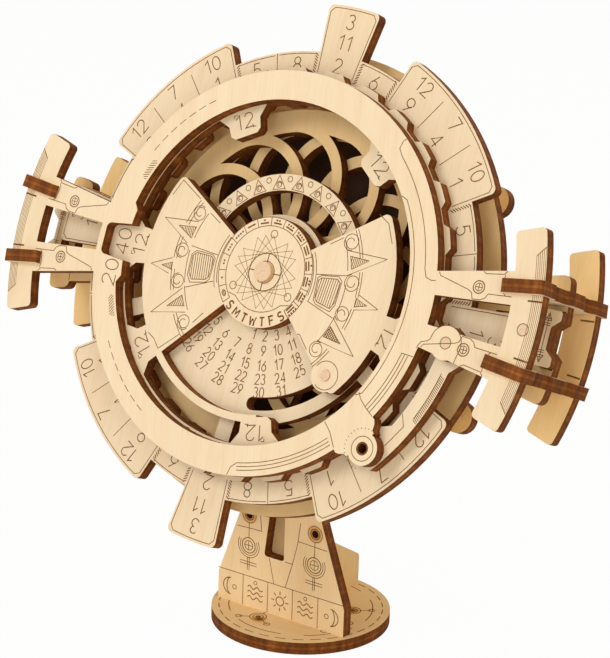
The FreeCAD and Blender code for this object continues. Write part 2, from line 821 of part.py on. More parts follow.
def make_month_wheel():
    """Ring of months with tabs, spokes and the half disc of dates that the dowel guides."""
    plate = Plate("month_wheel", on_axle(MONTH_BACK, size("month_rest_angle")))
    plate.add(["Sizes.month_ring_outer", "Sizes.month_inner"])
    middle = (size("month_inner") + size("month_ring_outer")) / 2
    corner = size("month_corner")
    half = DIVISION_ANGLE / 2
    tab = rounded_sector(middle, size("month_tab_outer"), 90 - half, 90 + half, corner)
    plate.repeat(plate.add(tab), MONTH_QUARTERS)
    arc_middle = 90 - 3 * DIVISION_ANGLE
    arc_half = 3 * DIVISION_ANGLE / 2
    three_months = rounded_sector(
        middle, size("month_arc_outer"), arc_middle - arc_half, arc_middle + arc_half, corner
    )
    plate.repeat(plate.add(three_months), MONTH_QUARTERS)
    tooth_half = size("month_tooth_angle") / 2
    tooth_corner = corner / 2
    tooth_inner = size("month_tooth_inner")
    turn = math.degrees(tooth_corner / tooth_inner)
    tooth = [
        arc(ORIGIN, middle, 90 - tooth_half, 90 + tooth_half),
        line(polar(middle, 90 + tooth_half), polar(tooth_inner + tooth_corner, 90 + tooth_half)),
        line(polar(tooth_inner + tooth_corner, 90 + tooth_half),
             polar(tooth_inner, 90 + tooth_half - turn)),
        arc(ORIGIN, tooth_inner, 90 - tooth_half + turn, 90 + tooth_half - turn),
        line(polar(tooth_inner, 90 - tooth_half + turn),
             polar(tooth_inner + tooth_corner, 90 - tooth_half)),
        line(polar(tooth_inner + tooth_corner, 90 - tooth_half), polar(middle, 90 - tooth_half)),
    ]
    plate.repeat(plate.add(tooth), DIVISIONS)
    spokes = []
    for number in (-1, 0, 1):
        angle = -90 + number * TAB_STEP * DIVISION_ANGLE
        spokes += spoke(angle, size("month_hub") / 2, middle, size("spoke_width") / 2)
    plate.add(spokes)
    plate.add(["Sizes.month_hub"])
    slot_angle = size("slot_angle")
    start = -90 - 7 * DIVISION_ANGLE + half / 2
    end = slot_angle + SLOT_TRAVEL_ANGLE + half
    plate.add(polygon_sector(size("date_outer"), start, end))
    overlap = DIVISION_ANGLE / 4
    band_ends = (end - overlap, start + 360 + overlap)
    plate.add(sector(size("month_band_inner"), size("month_band_outer"), *band_ends))
    bore = circle(ORIGIN, size("axle_radius") + size("running_fit"))
    plate.cut(curved_slot(slot_angle) + [bore])
    keep(plate.body)


def spoke(angle, inner, outer, half):
    """A straight strip along one radius."""
    turn = Rotation(AXIS, angle)
    corners = [Vector(inner, -half, 0), Vector(outer, -half, 0)]
    corners += [Vector(outer, half, 0), Vector(inner, half, 0)]
    return polygon([turn.multVec(corner) for corner in corners])


def polygon_sector(outer, start_angle, end_angle):
    """A slice of a disc from the hub."""
    return [
        line(ORIGIN, polar(outer, start_angle)),
        arc(ORIGIN, outer, start_angle, end_angle),
        line(polar(outer, end_angle), ORIGIN),
    ]


def curved_slot(angle):
    """The slot that lets the month wheel turn three divisions each way past the dowel."""
    reach = size("dowel_reach")
    half = size("slot_width") / 2
    start = angle - SLOT_TRAVEL_ANGLE
    end = angle + SLOT_TRAVEL_ANGLE
    return [
        arc(ORIGIN, reach + half, start, end),
        arc(polar(reach, end), half, end, end + 180),
        arc(ORIGIN, reach - half, start, end),
        arc(polar(reach, start), half, start + 180, start + 360),
    ]


# Dowels


def make_dowels():
    axle_front = YEAR_BACK + PLY + size("knob_height")
    keep(dowel("hub_axle", "Sizes.axle_radius", MID_BACK, axle_front - MID_BACK, AXLE))
    lobe = AXLE + polar(size("dowel_reach"), size("dowel_angle"))
    back = MONTH_BACK - size("dowel_proud")
    front = YEAR_BACK + PLY + size("dowel_proud")
    keep(dowel("slot_dowel", "Sizes.dowel_radius", back, front - back, lobe))
    cap = polar(CAP_REACH, -size("cap_angle"))
    keep(dowel("bracket_dowel", "Sizes.dowel_radius", FRONT_BACK - PLY, 2 * PLY, cap))
    bar = polar(BAR_DOWEL_REACH, 0)
    keep(dowel("bar_dowel", "Sizes.dowel_radius", FRONT_BACK, PLY, bar))


def make_hub_spacer():
    """A ring that keeps the month wheel off the tracery."""
    face = TRACERY_BACK + PLY
    length = MONTH_BACK - GAP - face
    body = dowel("hub_spacer_body", "Sizes.spacer_radius", face, length, AXLE)
    bore = "Sizes.axle_radius + Sizes.dowel_fit"
    hole = dowel("hub_spacer_hole", bore, face - PLY, length + 2 * PLY, AXLE)
    spacer = doc.addObject("Part::Cut", "hub_spacer")
    spacer.Base = body
    spacer.Tool = hole
    keep(spacer)


# Building the whole


def make_all():
    make_base()
    make_stand_panel()
    for place, name in enumerate(("rib_left", "rib_middle", "rib_right"), start=-2):
        make_rib(name, place)
    make_rear_plate()
    make_posts()
    make_mid_frame()
    make_tracery_front()
    make_front_frame()
    for side, turn in (("right", 0.0), ("left", 180.0)):
        make_bar(f"rear_bar_{side}", REAR_BACK, turn, "bar")
        make_bar(f"mid_bar_{side}", MID_BACK, turn, "mid_bar")
        make_bar(f"front_bar_{side}", FRONT_BACK, turn, "bar")
        make_arrow_plate(f"arrow_plate_{side}", turn)
        upper = 1 if side == "right" else -1
        make_clip(f"clip_{side}_upper", turn + upper * size("clip_angle"))
        make_clip(f"clip_{side}_lower", turn - upper * size("clip_angle"))
    make_window_bracket()
    make_year_wheel()
    make_month_wheel()
    make_dowels()
    make_hub_spacer()


def check_and_write():
    """Stops on any failed object, then writes one STEP file for each piece."""
    doc.recompute()
    for item in doc.Objects:
        if "Invalid" in item.State or "Error" in item.State:
            raise RuntimeError(f"{item.Label}: {item.State}")
    for piece in PIECES:
        if piece.Shape.isNull() or not piece.Shape.isValid():
            raise RuntimeError(f"{piece.Label} has no valid shape")
        if len(piece.Shape.Solids) != 1:
            raise RuntimeError(f"{piece.Label} has {len(piece.Shape.Solids)} solids")
    os.makedirs("parts", exist_ok=True)
    for piece in PIECES:
        piece.Shape.exportStep(f"parts/{piece.Label}.step")
        print(piece.Label, round(piece.Shape.Volume / 1000, 2), "cm3")


make_all()
check_and_write()
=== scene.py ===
import bpy
import json
import math
from mathutils import Matrix, Vector


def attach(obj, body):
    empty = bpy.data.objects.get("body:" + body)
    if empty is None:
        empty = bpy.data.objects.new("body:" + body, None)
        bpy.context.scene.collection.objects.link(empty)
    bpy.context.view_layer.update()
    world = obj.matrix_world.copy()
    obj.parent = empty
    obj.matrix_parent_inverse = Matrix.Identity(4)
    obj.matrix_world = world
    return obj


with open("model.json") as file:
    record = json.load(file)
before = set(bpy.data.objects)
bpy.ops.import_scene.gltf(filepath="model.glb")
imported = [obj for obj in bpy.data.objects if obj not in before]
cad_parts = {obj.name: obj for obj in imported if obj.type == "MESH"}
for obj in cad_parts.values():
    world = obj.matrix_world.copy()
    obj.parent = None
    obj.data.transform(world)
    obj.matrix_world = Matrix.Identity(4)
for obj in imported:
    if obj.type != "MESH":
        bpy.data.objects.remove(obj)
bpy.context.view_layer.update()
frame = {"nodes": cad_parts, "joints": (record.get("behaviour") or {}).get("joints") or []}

MM = 0.001
NODES = frame["nodes"]

# Frame of the dial: the wheels' axle, the frames' middle just below it, right, up and outward

AXLE = Vector(frame["joints"][0]["pos_m"])
OUT = Vector(frame["joints"][0]["axis"]).normalized()
RIGHT = Vector((1.0, 0.0, 0.0))
UP = OUT.cross(RIGHT)
WHEEL_RISE = 0.4
HUB = AXLE - UP * WHEEL_RISE * MM
MONTH_REST = math.radians(-3.85)
DIVISION = 360.0 / 28

PLY = 4.0

# Stroke widths and heights of the laser lines, in millimetres

HAIR = 0.13
FINE = 0.22
LINE = 0.31
HEAVY = 0.52
DATE_LINE = 0.3
BASE_LINE = 0.3
PROUD = 0.03
SUNK = 0.06


class Plane:
    """A flat face with its own across, up and outward directions, in metres."""

    def __init__(self, origin, across, up):
        self.origin = Vector(origin)
        self.across = Vector(across)
        self.up = Vector(up)
        self.out = self.across.cross(self.up)

    def point(self, across, up, out=0.0):
        """A point of the face from millimetres across, up and outward."""
        offset = self.across * across + self.up * up + self.out * out
        return self.origin + offset * MM

    def turned(self, angle):
        """The same face with its directions turned by an angle in radians."""
        cosine, sine = math.cos(angle), math.sin(angle)
        across = self.across * cosine + self.up * sine
        up = self.up * cosine - self.across * sine
        return Plane(self.origin, across, up)


def face_level(node, direction, origin):
    """How far a node's mesh reaches along a direction."""
    mesh = NODES[node].data
    return max((vertex.co - origin).dot(direction) for vertex in mesh.vertices)


def dial_plane(node, turn=0.0, middle=HUB):
    """The front face of a node that lies parallel to the dial."""
    level = face_level(node, OUT, middle)
    return Plane(middle + OUT * level, RIGHT, UP).turned(turn)


def polar(radius, angle):
    turn = math.radians(angle)
    return (radius * math.cos(turn), radius * math.sin(turn))


def bend(centre, radii, start, end, steps=0):
    """Points along an elliptic arc between two angles in degrees."""
    steps = steps or max(3, int(abs(end - start) / 12))
    points = []
    for index in range(steps + 1):
        turn = math.radians(start + (end - start) * index / steps)
        points.append((centre[0] + radii[0] * math.cos(turn), centre[1] + radii[1] * math.sin(turn)))
    return points


def arc(radius, start, end, centre=(0.0, 0.0)):
    steps = max(2, int(abs(math.radians(end - start)) * radius / 1.2), int(abs(end - start) / 14))
    return bend(centre, (radius, radius), start, end, steps)


# Single-stroke figures and letters on a grid one unit high

FIGURE_LOOP = [(0.44, 1.0), (0.1, 0.5)] + bend((0.28, 0.3), (0.28, 0.3), 150, -200)
GLYPHS = {
    "0": (0.56, [bend((0.28, 0.5), (0.28, 0.5), 90, 450)]),
    "1": (0.36, [[(0.04, 0.76), (0.3, 1.0), (0.3, 0.0)]]),
    "2": (0.56, [bend((0.28, 0.72), (0.26, 0.28), 165, -38) + [(0.0, 0.0), (0.56, 0.0)]]),
    "3": (0.54, [bend((0.25, 0.77), (0.23, 0.23), 155, -80) + bend((0.25, 0.27), (0.27, 0.27), 85, -155)]),
    "4": (0.56, [[(0.42, 0.0), (0.42, 1.0), (0.0, 0.27), (0.58, 0.27)]]),
    "5": (0.54, [[(0.5, 1.0), (0.1, 1.0), (0.06, 0.56)] + bend((0.25, 0.32), (0.28, 0.32), 125, -150)]),
    "6": (0.56, [FIGURE_LOOP]),
    "7": (0.54, [[(0.0, 1.0), (0.54, 1.0), (0.18, 0.0)]]),
    "8": (0.56, [bend((0.28, 0.76), (0.22, 0.24), -90, 270), bend((0.28, 0.26), (0.28, 0.26), 90, 450)]),
    "9": (0.56, [[(0.56 - x, 1.0 - y) for x, y in FIGURE_LOOP]]),
    "S": (0.54, [bend((0.27, 0.75), (0.24, 0.25), 35, 265) + bend((0.27, 0.26), (0.26, 0.26), 88, -145)]),
    "M": (0.66, [[(0.0, 0.0), (0.05, 1.0), (0.33, 0.3), (0.61, 1.0), (0.66, 0.0)]]),
    "T": (0.56, [[(0.0, 1.0), (0.56, 1.0)], [(0.28, 1.0), (0.28, 0.0)]]),
    "W": (0.72, [[(0.0, 1.0), (0.16, 0.0), (0.36, 0.8), (0.56, 0.0), (0.72, 1.0)]]),
    "F": (0.48, [[(0.48, 1.0), (0.0, 1.0), (0.0, 0.0)], [(0.0, 0.52), (0.4, 0.52)]]),
}
GLYPH_GAP = 0.24


class Engraving:
    """Thin burnt lines on one face, gathered into one mesh that rides with a body."""

    def __init__(self, name, plane, body):
        self.name = name
        self.plane = plane
        self.body = body
        self.vertices = []
        self.faces = []

    def stroke(self, points, width=LINE, closed=False):
        """One line of constant width through the points."""
        clean = [points[0]]
        for point in points[1:]:
            if math.dist(point, clean[-1]) > 1e-4:
                clean.append(point)
        if closed and math.dist(clean[0], clean[-1]) < 1e-4:
            clean.pop()
        count = len(clean)
        if count < 2:
            return
        base = len(self.vertices)
        for index, (x, y) in enumerate(clean):
            before = clean[index - 1] if index > 0 or closed else None
            after = clean[(index + 1) % count] if index < count - 1 or closed else None
            side = self.mitre(before, (x, y), after)
            half = width / 2
            for sign in (1, -1):
                across, up = x + sign * side[0] * half, y + sign * side[1] * half
                self.vertices.append(self.plane.point(across, up, PROUD))
                self.vertices.append(self.plane.point(across, up, -SUNK))
        links = count if closed else count - 1
        for index in range(links):
            a = base + 4 * index
            b = base + 4 * ((index + 1) % count)
            self.faces.append((a, a + 2, b + 2, b))
            self.faces.append((a + 1, b + 1, b + 3, a + 3))
            self.faces.append((a, b, b + 1, a + 1))
            self.faces.append((a + 2, a + 3, b + 3, b + 2))
        if not closed:
            end = base + 4 * (count - 1)
            self.faces.append((base, base + 1, base + 3, base + 2))
            self.faces.append((end, end + 2, end + 3, end + 1))

    @staticmethod
    def mitre(before, point, after):
        """The sideways direction at a corner, lengthened so that the line keeps its width."""
        def direction(start, end):
            length = math.dist(start, end)
            return ((end[0] - start[0]) / length, (end[1] - start[1]) / length)

        entering = direction(before, point) if before else None
        leaving = direction(point, after) if after else None
        entering = entering or leaving
        leaving = leaving or entering
        first = (-entering[1], entering[0])
        second = (-leaving[1], leaving[0])
        mean = (first[0] + second[0], first[1] + second[1])
        size = mean[0] ** 2 + mean[1] ** 2
        if size < 0.5:
            return first
        return (2 * mean[0] / size, 2 * mean[1] / size)

    def ring(self, radius, centre=(0.0, 0.0), width=LINE):
        self.stroke(arc(radius, 0, 360, centre), width, closed=True)

    def sweep(self, radius, start, end, width=LINE):
        self.stroke(arc(radius, start, end), width)

    def ray(self, angle, inner, outer, width=LINE):
        self.stroke([polar(inner, angle), polar(outer, angle)], width)

    def fill(self, points):
        """A burnt patch inside a convex outline."""
        base = len(self.vertices)
        count = len(points)
        for across, up in points:
            self.vertices.append(self.plane.point(across, up, PROUD))
            self.vertices.append(self.plane.point(across, up, -SUNK))
        self.faces.append([base + 2 * index for index in range(count)])
        self.faces.append([base + 2 * index + 1 for index in reversed(range(count))])
        for index in range(count):
            a = base + 2 * index
            b = base + 2 * ((index + 1) % count)
            self.faces.append((a, a + 1, b + 1, b))

    def dot(self, centre, radius):
        self.fill(bend(centre, (radius, radius), 0, 330, 11))

    def text(self, words, centre, height, turn=90.0, width=LINE, stretch=1.0):
        """Figures centred on a point, their up direction at an angle in degrees."""
        total = sum(GLYPHS[letter][0] for letter in words) + GLYPH_GAP * (len(words) - 1)
        cosine = math.cos(math.radians(turn - 90))
        sine = math.sin(math.radians(turn - 90))
        pen = -total / 2
        for letter in words:
            advance, strokes = GLYPHS[letter]
            for points in strokes:
                placed = []
                for x, y in points:
                    across = (pen + x) * height * stretch
                    up = (y - 0.5) * height
                    placed.append((
                        centre[0] + across * cosine - up * sine,
                        centre[1] + across * sine + up * cosine,
                    ))
                self.stroke(placed, width)
            pen += advance + GLYPH_GAP

    def polar_text(self, words, radius, angle, height, width=LINE, stretch=1.0, up=0.0):
        """Figures whose up direction points outward, or turned from there by an angle."""
        self.text(words, polar(radius, angle), height, angle + up, width, stretch)

    def build(self, material):
        mesh = bpy.data.meshes.new(self.name)
        mesh.from_pydata([tuple(vertex) for vertex in self.vertices], [], self.faces)
        mesh.update()
        piece = bpy.data.objects.new(self.name, mesh)
        bpy.context.scene.collection.objects.link(piece)
        mesh.materials.append(material)
        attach(piece, self.body)
        return piece


# Materials


class Nodes:
    """Short calls for building a material's node tree."""

    def __init__(self, name):
        self.material = bpy.data.materials.new(name)
        self.material.use_nodes = True
        self.tree = self.material.node_tree
        self.tree.nodes.clear()
        self.shader = self.add("ShaderNodeBsdfPrincipled")
        output = self.add("ShaderNodeOutputMaterial")
        self.link(self.shader.outputs["BSDF"], output.inputs["Surface"])
        self.coordinates = self.add("ShaderNodeTexCoord")

    def add(self, kind, **settings):
        node = self.tree.nodes.new(kind)
        for key, value in settings.items():
            setattr(node, key, value)
        return node

    def link(self, source, target):
        self.tree.links.new(source, target)

    def feed(self, target, value):
        """A socket takes another node's output or a plain value."""
        if isinstance(value, bpy.types.NodeSocket):
            self.link(value, target)
        else:
            target.default_value = value

    def maths(self, operation, first, second=0.0, clamp=False):
        node = self.add("ShaderNodeMath", operation=operation, use_clamp=clamp)
        self.feed(node.inputs[0], first)
        self.feed(node.inputs[1], second)
        return node.outputs[0]

    def dot(self, vector, constant):
        node = self.add("ShaderNodeVectorMath", operation="DOT_PRODUCT")
        self.feed(node.inputs[0], vector)
        node.inputs[1].default_value = constant
        return node.outputs["Value"]

    def combine(self, x, y, z):
        node = self.add("ShaderNodeCombineXYZ")
        for socket, value in zip(node.inputs, (x, y, z)):
            self.feed(socket, value)
        return node.outputs[0]

    def noise(self, vector, scale, detail=3.0, roughness=0.55, distortion=0.0):
        node = self.add("ShaderNodeTexNoise")
        self.feed(node.inputs["Vector"], vector)
        node.inputs["Scale"].default_value = scale
        node.inputs["Detail"].default_value = detail
        node.inputs["Roughness"].default_value = roughness
        node.inputs["Distortion"].default_value = distortion
        return node.outputs["Fac"]

    def ramp(self, factor, stops):
        node = self.add("ShaderNodeValToRGB")
        elements = node.color_ramp.elements
        while len(elements) < len(stops):
            elements.new(0.5)
        for element, (position, colour) in zip(elements, stops):
            element.position = position
            element.color = (*colour, 1.0)
        self.feed(node.inputs["Fac"], factor)
        return node.outputs["Color"]

    def mix(self, factor, first, second, blend="MIX"):
        node = self.add("ShaderNodeMix", data_type="RGBA", blend_type=blend)
        self.feed(node.inputs["Factor"], factor)
        for socket, value in ((node.inputs["A"], first), (node.inputs["B"], second)):
            if isinstance(value, tuple):
                socket.default_value = (*value, 1.0)
            else:
                self.link(value, socket)
        return node.outputs["Result"]

    def bump(self, height, strength, distance):
        node = self.add("ShaderNodeBump")
        node.inputs["Strength"].default_value = strength
        node.inputs["Distance"].default_value = distance
        self.link(height, node.inputs["Height"])
        self.link(node.outputs["Normal"], self.shader.inputs["Normal"])


def srgb(red, green, blue):
    """Linear colour from 0 to 255 screen values."""
    linear = []
    for value in (red, green, blue):
        share = value / 255
        linear.append(share / 12.92 if share <= 0.04045 else ((share + 0.055) / 1.055) ** 2.4)
    return tuple(linear)


BIRCH_LIGHT = srgb(240, 225, 198)
BIRCH_MID = srgb(236, 217, 186)
BIRCH_DARK = srgb(228, 203, 167)
BURNT_DEEP = srgb(82, 42, 15)
BURNT_MID = srgb(126, 71, 27)
BURNT_LIGHT = srgb(184, 116, 50)
WHITE = (1.0, 1.0, 1.0)


def grained_face(nodes, along, across, depth, painted_light_tint):
    """Pale birch: broad soft bands, fine streaks and short pores along the grain, multiplied by a tint that
    carries painted light and shade.
    """
    stretched = nodes.combine(
        nodes.maths("MULTIPLY", along, 9.0), nodes.maths("MULTIPLY", across, 210.0), depth
    )
    streaks = nodes.noise(stretched, 1.0, 4.0, 0.6, 0.2)
    fine = nodes.combine(
        nodes.maths("MULTIPLY", along, 110.0), nodes.maths("MULTIPLY", across, 1500.0), depth
    )
    pores = nodes.noise(fine, 1.0, 2.0, 0.5)
    clouds = nodes.noise(nodes.combine(along, across, depth), 26.0, 2.0, 0.5)
    light, mid, dark = (
        tuple(channel * share for channel, share in zip(colour, painted_light_tint))
        for colour in (BIRCH_LIGHT, BIRCH_MID, BIRCH_DARK)
    )
    face = nodes.ramp(streaks, [(0.25, dark), (0.5, mid), (0.75, light)])
    face = nodes.mix(0.5, face, nodes.ramp(clouds, [(0.3, mid), (0.7, light)]))
    pore_tone = nodes.ramp(pores, [(0.3, (0.9, 0.86, 0.8)), (0.5, WHITE)])
    return nodes.mix(0.4, face, pore_tone, "MULTIPLY"), pores


def burnt_edge(nodes, along, across, depth, level):
    """Laser-cut edge: three layers, the middle one lighter, under scorched streaks."""
    scorch = nodes.noise(
        nodes.combine(
            nodes.maths("MULTIPLY", along, 420.0),
            nodes.maths("MULTIPLY", across, 420.0),
            nodes.maths("MULTIPLY", depth, 120.0),
        ),
        1.0, 4.0, 0.65,
    )
    share = nodes.maths("MULTIPLY", nodes.maths("SUBTRACT", level, depth), 1 / (PLY * MM))
    layers = nodes.ramp(share, [
        (0.0, (0.75, 0.75, 0.75)), (0.07, (0.3, 0.3, 0.3)), (0.3, (0.42, 0.42, 0.42)),
        (0.35, (0.16, 0.16, 0.16)), (0.42, (0.62, 0.62, 0.62)), (0.6, (0.58, 0.58, 0.58)),
        (0.66, (0.16, 0.16, 0.16)), (0.72, (0.38, 0.38, 0.38)), (0.93, (0.3, 0.3, 0.3)),
        (1.0, (0.7, 0.7, 0.7)),
    ])
    char = nodes.maths("ADD", nodes.maths("MULTIPLY", scorch, 0.62), nodes.maths("MULTIPLY", layers, 0.34))
    return nodes.ramp(char, [(0.3, BURNT_DEEP), (0.5, BURNT_MID), (0.74, BURNT_LIGHT)]), scorch


def ply_material(name, normal, grain, level, seed, painted_light_tint=WHITE, special=None):
    """Birch ply: pale grained faces across the plate's normal and burnt laser-cut edges."""
    nodes = Nodes(name)
    normal = Vector(normal).normalized()
    grain = Vector(grain)
    grain = (grain - normal * grain.dot(normal)).normalized()
    place = nodes.coordinates.outputs["Object"]
    along = nodes.maths("ADD", nodes.dot(place, grain), seed * 0.37)
    across = nodes.maths("ADD", nodes.dot(place, normal.cross(grain)), seed * 0.91)
    depth = nodes.dot(place, normal)
    face, pores = grained_face(nodes, along, across, depth, painted_light_tint)
    edge, scorch = burnt_edge(nodes, along, across, depth, level)
    facing = nodes.maths("ABSOLUTE", nodes.dot(nodes.coordinates.outputs["Normal"], normal))
    colour = nodes.mix(nodes.maths("GREATER_THAN", facing, 0.6), edge, face)
    if special:
        colour = special(nodes, colour)
    nodes.link(colour, nodes.shader.inputs["Base Color"])
    nodes.shader.inputs["Roughness"].default_value = 0.7
    nodes.shader.inputs["Specular IOR Level"].default_value = 0.15
    nodes.bump(nodes.maths("ADD", pores, nodes.maths("MULTIPLY", scorch, 0.5)), 0.1, 0.0002)
    return nodes.material


def radius_about(nodes, centre, first, second):
    """Distance from an axis through a point, measured along two directions."""
    place = nodes.coordinates.outputs["Object"]
    sides = []
    for direction in (first, second):
        offset = nodes.maths("SUBTRACT", nodes.dot(place, direction), centre.dot(direction))
        sides.append(nodes.maths("MULTIPLY", offset, offset))
    return nodes.maths("SQRT", nodes.maths("ADD", *sides))


def dark_inside(nodes, colour):
    """Painted shade: the rear plate's front face inside the frames is painted dark brown for the deep shade
    behind the tracery, and only its rim and lobes keep the pale ply.
    """
    radius = radius_about(nodes, HUB, RIGHT, UP)
    inside = nodes.maths("LESS_THAN", radius, 57.0 * MM)
    front = nodes.maths("GREATER_THAN", nodes.dot(nodes.coordinates.outputs["Normal"], OUT), 0.6)
    # painted shade: dark brown on the front-facing face within 57 mm of the hub
    return nodes.mix(nodes.maths("MULTIPLY", inside, front), colour, srgb(52, 30, 13))


def pale_front_edge(nodes, colour):
    """The ribs' front edges, which show in the panel's slot, stay pale."""
    forward = nodes.dot(nodes.coordinates.outputs["Normal"], Vector((0.0, -1.0, 0.0)))
    return nodes.mix(nodes.maths("GREATER_THAN", forward, 0.6), colour, srgb(214, 182, 134))


def burnt_spots(centres, first, second, core, halo):
    """A stain with a dark core and a soft brown halo round each centre."""
    def stain(nodes, colour):
        for centre in centres:
            radius = nodes.maths("MULTIPLY", radius_about(nodes, centre, first, second), 1 / MM)
            tone = nodes.ramp(
                nodes.maths("MULTIPLY", radius, 1 / halo),
                [
                    (core / halo * 0.6, (0.16, 0.08, 0.03)),
                    (core / halo * 1.5, (0.72, 0.5, 0.27)),
                    (1.0, WHITE),
                ],
            )
            colour = nodes.mix(1.0, colour, tone, "MULTIPLY")
        return colour
    return stain


def dowel_material():
    """Turned birch rod: streaks along the rod and darker end grain."""
    nodes = Nodes("dowel_birch")
    place = nodes.coordinates.outputs["Object"]
    axis = tuple(OUT)
    along = nodes.maths("MULTIPLY", nodes.dot(place, axis), 60.0)
    side = nodes.dot(place, tuple(RIGHT))
    rise = nodes.dot(place, tuple(UP))
    streaks = nodes.noise(
        nodes.combine(
            nodes.maths("MULTIPLY", side, 1800.0), nodes.maths("MULTIPLY", rise, 1800.0), along
        ),
        1.0, 3.0, 0.6,
    )
    body = nodes.ramp(streaks, [(0.3, srgb(206, 160, 104)), (0.7, srgb(232, 194, 144))])
    ends = nodes.ramp(streaks, [(0.3, srgb(212, 182, 150)), (0.7, srgb(232, 206, 176))])
    facing = nodes.maths("ABSOLUTE", nodes.dot(nodes.coordinates.outputs["Normal"], axis))
    colour = nodes.mix(nodes.maths("GREATER_THAN", facing, 0.7), body, ends)
    nodes.link(colour, nodes.shader.inputs["Base Color"])
    nodes.shader.inputs["Roughness"].default_value = 0.6
    nodes.bump(streaks, 0.1, 0.0002)
    return nodes.material


def engraving_material():
    """The brown of a fine laser line, a little uneven."""
    nodes = Nodes("engraved_line")
    place = nodes.coordinates.outputs["Object"]
    burn = nodes.noise(place, 700.0, 3.0, 0.6)
    colour = nodes.ramp(burn, [(0.3, srgb(92, 58, 28)), (0.7, srgb(144, 100, 56))])
    nodes.link(colour, nodes.shader.inputs["Base Color"])
    nodes.shader.inputs["Roughness"].default_value = 0.9
    nodes.shader.inputs["Specular IOR Level"].default_value = 0.1
    nodes.bump(burn, 0.2, 0.0001)
    return nodes.material


ENGRAVED = engraving_material()
DOWEL = dowel_material()


BASE_SPOTS = [(-3.9, -17.4), (16.0, -5.8), (15.4, 7.2), (-3.0, 16.7), (-17.0, 0.0)]
PANEL_HOLES = [(-12.9, 35.7), (12.9, 35.7)]


def node_ply(name, seed):
    """The ply of one node: how its face looks, which way its grain runs and how deep it lies, with tints that
    paint light on the base and panel and warm shade on the deeper layers.
    """
    normal = OUT
    grain = UP + RIGHT * 0.22 * math.sin(seed * 1.7)
    painted_light_tint = WHITE
    special = None
    if name == "base_disc":
        normal, grain = Vector((0, 0, 1)), Vector((1, 0.25, 0))
        # painted light: the base is tinted brighter and warmer, as if lit from above
        painted_light_tint = (1.06, 0.95, 0.73)
        spots = [Vector((x, y, 0)) * MM for x, y in BASE_SPOTS]
        special = burnt_spots(spots, Vector((1, 0, 0)), Vector((0, 1, 0)), 1.0, 3.0)
    elif name == "stand_panel":
        normal, grain = Vector((0, -1, 0)), Vector((0.1, 0, 1))
        # painted light: the stand panel is tinted brighter and warmer
        painted_light_tint = (1.06, 0.96, 0.8)
        holes = [Vector((x, 0, z)) * MM for x, z in PANEL_HOLES]
        special = burnt_spots(holes, Vector((1, 0, 0)), Vector((0, 0, 1)), 1.2, 3.4)
    elif name.startswith("rib"):
        normal, grain = Vector((1, 0, 0)), Vector((0, 0, 1))
        # painted shade: the ribs inside the slot are tinted golden and darker
        painted_light_tint = (1.06, 0.93, 0.68)
        special = pale_front_edge
    elif name.startswith("clip"):
        side = 1 if "right" in name else -1
        lift = 1 if "upper" in name else -1
        turn = math.radians(7.4 * lift * side)
        normal, grain = (RIGHT * math.cos(turn) + UP * math.sin(turn)).cross(OUT), OUT
    elif name == "rear_plate":
        # painted shade: golden, darker tint on the rear plate deep behind the dial
        painted_light_tint = (1.1, 0.9, 0.54)
        # painted shade: the rear plate's face behind the tracery is painted dark
        special = dark_inside
    elif name.startswith("rear_bar"):
        # painted shade: golden tint on the rear bars
        painted_light_tint = (1.05, 0.9, 0.62)
    elif name.startswith("mid") or name.startswith("tracery") or name == "hub_spacer":
        # painted shade and warm bounce light: golden tint on the middle layers, tracery and spacer
        painted_light_tint = (0.97, 0.84, 0.6)
    level = face_level(name, normal, Vector((0, 0, 0)))
    return ply_material("ply_" + name, normal, grain, level, seed, painted_light_tint, special)


def dress_nodes():
    """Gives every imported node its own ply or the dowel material."""
    for index, (name, node) in enumerate(sorted(NODES.items())):
        if "dowel" in name or "post" in name or name == "hub_axle":
            material = DOWEL
        else:
            material = node_ply(name, index + 1)
        node.data.materials.clear()
        node.data.materials.append(material)


dress_nodes()

# Engraved detail


def shifted(points, centre):
    return [(centre[0] + x, centre[1] + y) for x, y in points]


def spiral(marks, centre, radius, start, sense, width=FINE):
    """A scroll: nearly a full circle that then winds inwards once."""
    points = []
    for index in range(41):
        share = index / 40
        turn = math.radians(start + sense * 620 * share)
        reach = radius * (1 - 0.62 * max(0.0, share - 0.42) / 0.58)
        points.append((centre[0] + reach * math.cos(turn), centre[1] + reach * math.sin(turn)))
    marks.stroke(points, width)


def hatch(marks, corners, angle, gap, width=FINE):
    """Parallel lines at an angle inside a convex outline."""
    along = (math.cos(math.radians(angle)), math.sin(math.radians(angle)))
    aside = (-along[1], along[0])
    levels = [x * aside[0] + y * aside[1] for x, y in corners]
    level = min(levels) + gap / 2
    while level < max(levels):
        cuts = []
        for index, (x, y) in enumerate(corners):
            first = levels[index] - level
            second = levels[(index + 1) % len(corners)] - level
            if first * second < 0:
                share = first / (first - second)
                end = corners[(index + 1) % len(corners)]
                cuts.append((x + (end[0] - x) * share, y + (end[1] - y) * share))
        if len(cuts) == 2 and math.dist(*cuts) > 0.3:
            marks.stroke(cuts, width)
        level += gap


def crossed_ring(marks, centre, radius):
    """A small ring with an inner ring and a cross in it."""
    marks.ring(radius, centre)
    marks.ring(radius * 0.62, centre, FINE)
    for turn in (0, 90):
        x, y = polar(radius * 0.62, turn)
        marks.stroke([(centre[0] - x, centre[1] - y), (centre[0] + x, centre[1] + y)], FINE)


def polar_line(marks, points, width=LINE, mirror=1, half_turn=0):
    """A line through (radius, angle) points."""
    marks.stroke([polar(radius, mirror * angle + half_turn) for radius, angle in points], width)


# Front frame and bars: (radius, angle) lines of one strip of an arm

